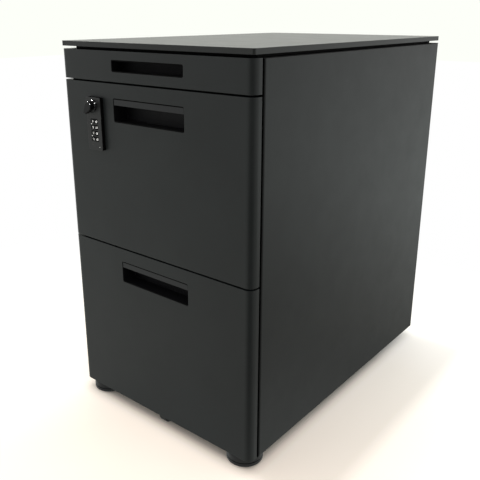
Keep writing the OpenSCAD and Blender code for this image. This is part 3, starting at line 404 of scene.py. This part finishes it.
def build_lock_marks():
    """Index dots between the dials, the ring and hole of the code reset, and a dot at the lock's foot."""
    dot_out = 7.2 * MM        # from the dials' middle to the index dots
    dot_r = 0.75 * MM
    reset_in = 1.3 * MM       # from the index dots back to the reset's middle
    reset_rise = 9.6 * MM
    ring_r, ring_hole_r, hole_r = 1.7 * MM, 1.25 * MM, 1.0 * MM
    foot_in, foot_rise, foot_r = 6.9 * MM, 5 * MM, 0.55 * MM
    low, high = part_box("lock_housing")
    first, last = (box_centre(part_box(f"lock_dial_{number}")) for number in (DIALS[0], DIALS[-1]))
    half_pitch = (first[2] - last[2]) / (len(DIALS) - 1) / 2
    face = low[1] - PRINT_LIFT
    dot_x = first[0] - dot_out
    reset = (dot_x + reset_in, face, low[2] + reset_rise)
    dots = []
    for number, z in enumerate((first[2] - half_pitch, last[2] + half_pitch), start=1):
        mesh = disc_mesh(f"index_dot_{number}", (dot_x, face, z), dot_r)
        dots.append(make_piece(mesh.name, mesh, "middle_drawer", marking))
    mesh = disc_mesh("reset_ring", reset, ring_r, ring_hole_r)
    make_piece(mesh.name, mesh, "middle_drawer", faint_marking)
    # The reset hole is a flat black disc: painted shade of the hole.
    mesh = disc_mesh("reset_hole", reset, hole_r)
    make_piece(mesh.name, mesh, "middle_drawer", painted_shade_black)
    mesh = disc_mesh("change_dot", (high[0] - foot_in, face, low[2] + foot_rise), foot_r)
    make_piece(mesh.name, mesh, "middle_drawer", marking)
    return dots


def build_dial_windows():
    """Painted shade in each window of the lock's face: a black inner frame round its dial."""
    outer_x, outer_z, outer_corner = 8.4 * MM, 0.9 * MM, 0.8 * MM
    inner_x, inner_z, inner_corner = 7.1 * MM, 0.12 * MM, 0.3 * MM
    proud, deep = 0.05 * MM, 0.1 * MM
    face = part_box("lock_housing")[0][1]
    for number in DIALS:
        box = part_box(f"lock_dial_{number}")
        x = box_centre(box)[0]
        z0, z1 = box[0][2], box[1][2]
        outer = rounded_outline((x - outer_x, z0 - outer_z), (x + outer_x, z1 + outer_z), outer_corner)
        inner = rounded_outline((x - inner_x, z0 - inner_z), (x + inner_x, z1 + inner_z), inner_corner)
        mesh = frame_mesh(f"dial_{number}_window", outer, inner, face - proud, face + deep)
        make_piece(mesh.name, mesh, "middle_drawer", painted_shade_black)


def build_lock_sides():
    """Painted shade on the lock's sides: a black skin round the housing, behind its face plate."""
    low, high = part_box("lock_housing")
    corner = 2.5 * MM
    skin = 0.05 * MM
    face_plate = 0.9 * MM
    outer = rounded_outline((low[0] - skin, low[2] - skin), (high[0] + skin, high[2] + skin), corner + skin)
    inner = rounded_outline((low[0] + skin, low[2] + skin), (high[0] - skin, high[2] - skin), corner - skin)
    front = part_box("middle_front")[0][1]
    mesh = frame_mesh("lock_side_shade", outer, inner, low[1] + face_plate, front - skin)
    make_piece(mesh.name, mesh, "middle_drawer", painted_shade_black)


# ---------- Drawers and carcass ----------

def build_recess_rims():
    """The cups' thin black lip at the edge of each finger recess, which also stands as painted shade of the
    gap round the opening.
    """
    flange = 3.5 * MM         # the cup's wall and lip, outside its opening
    headroom = 2 * MM         # the part of a latch cup above the opening
    lip = 1.8 * MM
    clear_lip = 0.5 * MM      # beside a latch paddle, which swings out past the lip
    corner = 3 * MM
    face_in, back_in = 0.05 * MM, 0.35 * MM
    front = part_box("middle_front")[0][1]
    for drawer, above, beside in (("top", 0, lip), ("middle", headroom, clear_lip),
                                  ("bottom", headroom, clear_lip)):
        low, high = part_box(f"{drawer}_handle_cup")
        x0, x1 = low[0] + flange, high[0] - flange
        z0, z1 = low[2] + flange, high[2] - flange - above
        outer = rounded_outline((x0, z0), (x1, z1), corner)
        inner = rounded_outline((x0 + beside, z0 + lip), (x1 - beside, z1 - lip), corner - lip)
        mesh = frame_mesh(f"{drawer}_recess_rim", outer, inner, front + face_in, front + back_in)
        make_piece(mesh.name, mesh, f"{drawer}_drawer", painted_shade_black)


def loose_boxes(mesh):
    """The boxes of a mesh's loose parts. Parts that touch count as one."""
    parent = list(range(len(mesh.vertices)))

    def root(i):
        while parent[i] != i:
            parent[i] = parent[parent[i]]
            i = parent[i]
        return i

    for edge in mesh.edges:
        parent[root(edge.vertices[0])] = root(edge.vertices[1])
    islands = {}
    for vertex in mesh.vertices:
        islands.setdefault(root(vertex.index), []).append(vertex.co)
    near = 0.1 * MM
    boxes = []
    for points in islands.values():
        low = [min(p[i] for p in points) for i in range(3)]
        high = [max(p[i] for p in points) for i in range(3)]
        for box in boxes:
            if all(low[i] <= box[1][i] + near and high[i] >= box[0][i] - near for i in range(3)):
                box[0] = [min(pair) for pair in zip(box[0], low)]
                box[1] = [max(pair) for pair in zip(box[1], high)]
                break
        else:
            boxes.append([low, high])
    return boxes


def screw_points(low, high, rings, sides):
    """Rings of points from the middle of a screw's head to the end of its shank, to fill its box."""
    head_h = 1.6 * MM
    shank_r = 1.9 * MM
    skirt = 0.35                  # of the head's height, up to its rim
    arm_w, arm_l = 0.16, 0.58     # of the head's radius, half across the cross recess and along it
    arm_depth = 0.9               # of the dome's height there
    centre = box_centre((low, high))
    from_below = high[2] - low[2] < high[1] - low[1]
    radius = (high[0] - low[0]) / 2
    length = (high[2] - low[2]) if from_below else (high[1] - low[1])

    def place(across, up, out):
        """A point across and up over the head's face, and out from the head's seat."""
        if from_below:
            return (centre[0] + across, centre[1] + up, low[2] + head_h - out)
        return (centre[0] + across, high[1] - head_h + out, centre[2] - up)

    points = []
    for ring in range(rings):
        share = ring / (rings - 1)
        dome = skirt + (1 - skirt) * math.sqrt(max(0, 1 - share ** 2))
        for angle in polygon_angles(sides):
            u, v = share * math.cos(angle), share * math.sin(angle)
            narrow, wide = min(abs(u), abs(v)), max(abs(u), abs(v))
            in_cross = narrow < arm_w and wide < arm_l
            sunk = arm_depth * (1 - (wide / arm_l) ** 3) * dome if in_cross else 0
            points.append(place(u * radius, v * radius, (dome - sunk) * head_h))
    for reach, out in ((radius, 0), (shank_r, 0), (shank_r, head_h - length)):
        points += [place(reach * math.cos(angle), reach * math.sin(angle), out)
                   for angle in polygon_angles(sides)]
    return points


def build_screws():
    """Domed screws with a cross recess, in place of the carcass's plain ones."""
    rings, sides = 11, 40
    points, faces = [], []
    for low, high in loose_boxes(nodes["carcass_screws"].data):
        first = len(points)
        points += screw_points(low, high, rings, sides)
        for level in range(first, len(points) - sides, sides):
            for side in range(sides):
                after = (side + 1) % sides
                faces.append((level + side, level + sides + side, level + sides + after, level + after))
        faces.append(tuple(reversed(range(len(points) - sides, len(points)))))
    mesh = bpy.data.meshes.new("screw_heads")
    mesh.from_pydata(points, [], faces)
    form = bmesh.new()
    form.from_mesh(mesh)
    bmesh.ops.remove_doubles(form, verts=form.verts, dist=0.001 * MM)
    bmesh.ops.recalc_face_normals(form, faces=form.faces)
    form.to_mesh(mesh)
    form.free()
    screws = make_piece("screw_heads", mesh, "carcass", zinc)
    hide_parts("carcass_screws")


# ---------- Floor ----------

def distance_from(tree, place, low, high):
    """How far a point of the floor lies outside the rectangle from low to high."""
    middle = [(a + b) / 2 for a, b in zip(low, high)]
    half = [(b - a) / 2 for a, b in zip(low, high)]
    for operation, other in (("SUBTRACT", (*middle, 0)), ("ABSOLUTE", None),
                             ("SUBTRACT", (*half, 1)), ("MAXIMUM", (0, 0, 0))):
        place = vector_node(tree, operation, place, other).outputs["Vector"]
    return vector_node(tree, "LENGTH", place).outputs["Value"]


def seen_floor(tree, shader, colour, place, reach, camera_ray):
    """The floor as the camera sees it: painted light that lifts it away from the cabinet, so that its
    shadow stays close, and white far away. Light that bounces meets the plain shader."""
    inset = 0.014             # how far under the cabinet the lift begins
    beside = 0.12             # how far the deep shadow reaches on the right
    near_fade, wide_fade = 0.026, 0.032
    step = 0.28               # of brightness, that each of the two lifts adds
    white_from, white_at = 0.7, 1.3     # from the middle of the view
    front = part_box("middle_front")[0]
    low = (front[0] + inset, front[1] + inset)
    high = (cad_box[1][0] - inset, cad_box[1][1] - inset)
    wide = (high[0] + beside, high[1])
    near_lift = remap(tree, distance_from(tree, place, low, high), 0, near_fade, 0, step)
    wide_lift = remap(tree, distance_from(tree, place, low, wide), 0, wide_fade, 0, step)
    lift = combine(tree, "MULTIPLY", combine(tree, "ADD", near_lift, wide_lift), camera_ray)
    painted_floor_light = add(tree, "ShaderNodeEmission", Color=colour, Strength=lift)
    total = add(tree, "ShaderNodeAddShader")
    feed(tree, total.inputs[0], shader.outputs[0])
    feed(tree, total.inputs[1], painted_floor_light.outputs[0])
    white = add(tree, "ShaderNodeEmission", Color=(1, 1, 1, 1), Strength=1.0)
    far = combine(tree, "MULTIPLY", remap(tree, reach, white_from, white_at, 0, 1), camera_ray)
    return mix_shaders(tree, far, total.outputs[0], white.outputs[0])


def mirrored_floor(tree, shader, place):
    """The floor as the paint mirrors it, with painted light and shade: duller, glowing brighter to the
    back, and a dark strip before the corner.
    """
    behind_face = 1 * MM      # from the fronts' face back to where the dark strip starts
    corner = (cad_box[1][0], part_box("middle_front")[0][1] + behind_face, 0)
    straight_ahead = (0.66, -0.75, 0)
    strip_edge, strip_core = 0.70, 0.86     # how nearly a point lies straight ahead of the corner
    strip_start, strip_full, strip_length = 0.4, 0.95, 0.35
    tint, darkest = (0.90, 1.0, 1.0, 1), 0.02
    from_corner = vector_node(tree, "SUBTRACT", place, corner).outputs["Vector"]
    away = vector_node(tree, "LENGTH", from_corner).outputs["Value"]
    ray = vector_node(tree, "NORMALIZE", from_corner).outputs["Vector"]
    ahead = vector_node(tree, "DOT_PRODUCT", ray, straight_ahead).outputs["Value"]
    strip = combine(tree, "MULTIPLY", remap(tree, ahead, strip_edge, strip_core, 0, 1),
                    remap(tree, away, 0, strip_length, strip_start, strip_full))
    axes = add(tree, "ShaderNodeSeparateXYZ", Vector=place)
    # The brightness that each side of the cabinet adds, over a stretch of Y or X.
    in_front = remap(tree, axes.outputs["Y"], -0.3, 0.1, 0.55, 0)
    behind = remap(tree, axes.outputs["Y"], 0.35, 1.4, 0.16, 1.65)
    on_left = remap(tree, axes.outputs["X"], 0.25, 0.6, 0.2, 0)
    glow = combine(tree, "ADD", combine(tree, "ADD", in_front, behind), on_left)
    glowing = add(tree, "ShaderNodeEmission", Color=tint, Strength=glow)
    shade = add(tree, "ShaderNodeEmission", Strength=darkest)
    dulled = mix_shaders(tree, 0.5, shader.outputs[0], glowing.outputs[0])
    return mix_shaders(tree, strip, dulled, shade.outputs[0])


def build_floor():
    """A plain pale floor that the cabinet stands on, and that keeps its shadow."""
    size = 9.0
    cells = 8
    view_middle = (0.15, -0.55, 0)
    warm_dark, warm_light, pale = (0.87, 0.775, 0.68), (0.89, 0.795, 0.70), (0.94, 0.915, 0.85)
    warm_to, pale_from = 0.3, 0.95      # from the middle of the view
    mesh = bpy.data.meshes.new("floor")
    form = bmesh.new()
    bmesh.ops.create_grid(form, x_segments=cells, y_segments=cells, size=size)
    form.to_mesh(mesh)
    form.free()
    floor = bpy.data.objects.new("floor", mesh)
    bpy.context.scene.collection.objects.link(floor)
    material, tree, shader = new_material("floor_white")
    place = object_place(tree)
    reach = vector_node(tree, "DISTANCE", place, view_middle).outputs["Value"]
    tone = remap(tree, object_noise(tree, 3, 3, 0.5), 0.3, 0.7, 0, 1)
    warm = mix_colours(tree, tone, warm_dark, warm_light)
    colour = mix_colours(tree, remap(tree, reach, warm_to, pale_from, 0, 1), warm, pale)
    feed(tree, shader.inputs["Base Color"], colour)
    feed(tree, shader.inputs["Roughness"], 0.6)
    feed(tree, shader.inputs["Specular IOR Level"], 0.1)
    path = add(tree, "ShaderNodeLightPath")
    seen = seen_floor(tree, shader, colour, place, reach, path.outputs["Is Camera Ray"])
    mirrored = mirrored_floor(tree, shader, place)
    look = mix_shaders(tree, path.outputs["Is Glossy Ray"], seen, mirrored)
    feed(tree, tree.nodes["Material Output"].inputs["Surface"], look)
    mesh.materials.append(material)


# ---------- Light and camera ----------

def build_world():
    """A white room, brighter behind the cabinet, and plain white to the camera. The paint also mirrors
    a dark figure, where whoever takes the picture stands."""
    to_glow = (-0.60, 0.74, 0.30)
    glow_edge, glow_strength = 0.45, 1.38
    to_figure = (0.65, -0.74, 0.10)
    figure_edge, figure_core, figure_depth = 0.76, 0.88, 0.9
    world = bpy.data.worlds.new("room")
    bpy.context.scene.world = world
    world.use_nodes = True
    tree = world.node_tree
    back = tree.nodes["Background"]
    ray = add(tree, "ShaderNodeTexCoord").outputs["Generated"]
    path = add(tree, "ShaderNodeLightPath")
    glow = vector_node(tree, "DOT_PRODUCT", ray, to_glow).outputs["Value"]
    figure = vector_node(tree, "DOT_PRODUCT", ray, to_figure).outputs["Value"]
    dark = combine(tree, "MULTIPLY", remap(tree, figure, figure_edge, figure_core, 0, figure_depth),
                   path.outputs["Is Glossy Ray"])
    kept = combine(tree, "SUBTRACT", 1, dark)
    tinted = combine(tree, "MULTIPLY", remap(tree, glow, glow_edge, 1.0, 0, 1), kept)
    strength = combine(tree, "MULTIPLY", remap(tree, glow, glow_edge, 1.0, 1.0, glow_strength), kept)
    tint = mix_colours(tree, tinted, (1.0, 1.0, 1.0), (0.98, 1.0, 0.93))
    feed(tree, back.inputs["Color"], tint)
    shown = mix_values(tree, path.outputs["Is Camera Ray"], strength, 1.0)
    feed(tree, back.inputs["Strength"], shown)


def build_lamp(name, direction, power, lit):
    """A small soft lamp in a direction from the lock, for the glints and marks in the list lit."""
    distance = 1.3
    size = 0.1
    light = bpy.data.lights.new(name, "AREA")
    light.size = size
    light.energy = power
    lamp = bpy.data.objects.new(name, light)
    away = Vector(direction).normalized()
    lamp.location = Vector(box_centre(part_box("lock_knob"))) + away * distance
    lamp.rotation_euler = away.to_track_quat("Z", "Y").to_euler()
    lamp.visible_camera = False
    receivers = bpy.data.collections.new(f"{name}_lit")
    for piece in lit:
        receivers.objects.link(piece)
    lamp.light_linking.receiver_collection = receivers
    bpy.context.scene.collection.objects.link(lamp)


def build_camera():
    """The photograph's viewing angle, from the front right and a little above the top."""
    right, ahead, height = 0.692, 0.6475, 0.6905
    turn, pitch = 39.32, 17.87
    camera = bpy.data.cameras.new("camera")
    camera.lens = 47.0
    camera.sensor_width = 36
    camera.shift_x = 0.0194
    camera.shift_y = -0.0490
    holder = bpy.data.objects.new("camera", camera)
    holder.location = (right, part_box("middle_front")[0][1] - ahead, height)
    holder.rotation_euler = (math.radians(90 - pitch), 0, math.radians(turn))
    bpy.context.scene.collection.objects.link(holder)
    bpy.context.scene.camera = holder


white_marks = build_dial_digits() + build_lock_marks()
build_dial_windows()
build_lock_sides()
build_recess_rims()
build_screws()
build_floor()
build_world()
build_lamp("lamp_left", (-0.78, -0.135, 0.62), power=34, lit=[nodes["lock_knob"]])
build_lamp("lamp_front", (0.394, -0.74, 0.546), power=30, lit=[nodes["lock_knob"]])
build_lamp("lamp_marks", (0.1, -0.9, 0.4), power=8, lit=white_marks)
build_camera()
bpy.context.scene.view_settings.view_transform = "Standard"
